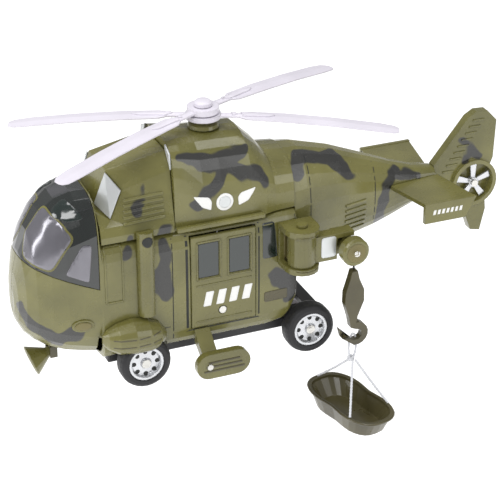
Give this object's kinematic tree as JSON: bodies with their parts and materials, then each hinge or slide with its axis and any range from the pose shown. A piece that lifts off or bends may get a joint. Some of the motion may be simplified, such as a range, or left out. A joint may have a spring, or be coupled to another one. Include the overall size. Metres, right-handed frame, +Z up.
{
  "type": "toy helicopter",
  "caption": "Chunky camouflaged toy rescue helicopter with stacked two-blade rotors, free-rolling wheels, friction drive and a swinging side winch that lowers a rescue basket.",
  "frame": {"origin": "on the rotor's axis, 100 mm above the plane the wheels roll on, where a hand closes round the body", "axes": "+X toward the tail, nose toward -X; left side toward -Y; +Z up along the rotor's axis"},
  "size_m": [0.3334, 0.1393, 0.2175],
  "materials": {
    "black": "black chassis",
    "dark_olive": "dark olive moulded",
    "olive": "glossy moulded olive",
    "rope": "black cord",
    "silver": "silver-painted plastic",
    "smoke": "smoked glossy",
    "steel": "plated",
    "string": "white twisted string",
    "tyre": "matt black",
    "white": "white, satin"
  },
  "bodies": {
    "airframe": {"fuselage_left_shell": "olive", "fuselage_right_shell": "olive", "cockpit_canopy": "smoke", "cowl_front": "olive", "cowl_main": "olive", "cowl_panel_front_left": "silver", "cowl_panel_front_right": "silver", "cowl_panel_rear_left": "silver", "cowl_panel_rear_right": "silver", "door_left": "olive", "door_right": "olive", "door_screw_left": "steel", "door_screw_right": "steel", "rail_left": "olive", "rail_right": "olive", "strut_left": "olive", "strut_right": "olive", "wheel_pod_left": "olive", "wheel_pod_right": "olive", "side_pod_left": "olive", "side_pod_right": "olive", "tail_boom": "olive", "tail_fin": "olive", "stabiliser_left": "olive", "stabiliser_right": "olive", "tail_rotor_pin": "steel", "belly_plate": "black", "drive_housing": "black", "rotor_mast": "olive", "searchlight_bracket": "dark_olive", "winch_bracket": "olive", "winch_pin": "olive"},
    "rotor_low": {"rotor_lower": "white"},
    "rotor_top": {"rotor_upper": "white", "rotor_cap": "white"},
    "tail_fan": {"tail_rotor": "silver"},
    "front_wheels": {"front_axle": "steel", "front_rim_left": "silver", "front_rim_right": "silver", "front_tyre_left": "tyre", "front_tyre_right": "tyre"},
    "rear_wheels": {"rear_axle": "steel", "rear_rim_left": "silver", "rear_rim_right": "silver", "rear_tyre_left": "tyre", "rear_tyre_right": "tyre", "drive_axle_gear": "white"},
    "compound_gear": {"drive_compound_gear": "white"},
    "flywheel": {"drive_flywheel": "steel"},
    "searchlight": {"searchlight": "olive"},
    "winch_arm": {"winch_arm": "olive"},
    "winch_spool": {"winch_spool": "olive", "winch_spool_screw": "steel"},
    "rope": {"hoist_rope": "rope"},
    "hook": {"hoist_hook": "dark_olive", "sling_left": "string", "sling_right": "string", "sling_front": "string"},
    "basket": {"rescue_basket": "dark_olive"}
  },
  "joints": [
    {"name": "rotor_spin", "type": "hinge", "parent": "airframe", "child": "rotor_low", "pos_m": [0, 0, 0.0584], "axis": [0, 0, 1], "continuous": true},
    {"name": "blade_fold", "type": "hinge", "parent": "rotor_low", "child": "rotor_top", "pos_m": [0, 0, 0.0622], "axis": [0, 0, 1], "range_deg": [-50, 40]},
    {"name": "tail_rotor_spin", "type": "hinge", "parent": "airframe", "child": "tail_fan", "pos_m": [0.19, 0, -0.0187], "axis": [0, 1, 0], "continuous": true},
    {"name": "front_axle_spin", "type": "hinge", "parent": "airframe", "child": "front_wheels", "pos_m": [-0.0545, 0, -0.0833], "axis": [0, 1, 0], "continuous": true},
    {"name": "rear_axle_spin", "type": "hinge", "parent": "airframe", "child": "rear_wheels", "pos_m": [0.057, 0, -0.0833], "axis": [0, 1, 0], "continuous": true},
    {"name": "compound_gear_spin", "type": "hinge", "parent": "airframe", "child": "compound_gear", "pos_m": [0.0483, 0, -0.0833], "axis": [0, 1, 0], "continuous": true},
    {"name": "flywheel_spin", "type": "hinge", "parent": "airframe", "child": "flywheel", "pos_m": [0.0396, 0, -0.0833], "axis": [0, 1, 0], "continuous": true},
    {"name": "searchlight_tilt", "type": "hinge", "parent": "airframe", "child": "searchlight", "pos_m": [-0.104, 0, -0.0828], "axis": [0, 1, 0], "range_deg": [-30, 4]},
    {"name": "winch_arm_swing", "type": "hinge", "parent": "airframe", "child": "winch_arm", "pos_m": [0.047, -0.045, -0.02], "axis": [0, 0, 1], "range_deg": [-95, 5]},
    {"name": "winch_spool_turn", "type": "hinge", "parent": "winch_arm", "child": "winch_spool", "pos_m": [0.0775, -0.05, -0.0225], "axis": [0, -1, 0], "range_deg": [-1300, 120]},
    {"name": "rope_swing", "type": "hinge", "parent": "winch_arm", "child": "rope", "pos_m": [0.0812, -0.049, -0.0245], "axis": [1, 0, 0], "range_deg": [-20, 5]},
    {"name": "hoist", "type": "slide", "parent": "rope", "child": "hook", "axis": [0, 0, 1], "range_m": [-0.07, 0.006], "deforming": ["hoist_rope"]},
    {"name": "basket_lift", "type": "slide", "parent": "hook", "child": "basket", "axis": [0, 0, 1], "range_m": [0, 0.02], "deforming": ["sling_left", "sling_right", "sling_front"]}
  ],
  "couplings": [
    {"joint": "compound_gear_spin", "follows": "rear_axle_spin", "ratio": -2.5},
    {"joint": "flywheel_spin", "follows": "rear_axle_spin", "ratio": 6.25},
    {"joint": "winch_spool_turn", "follows": "hoist", "rad_per_m": 303.03}
  ]
}
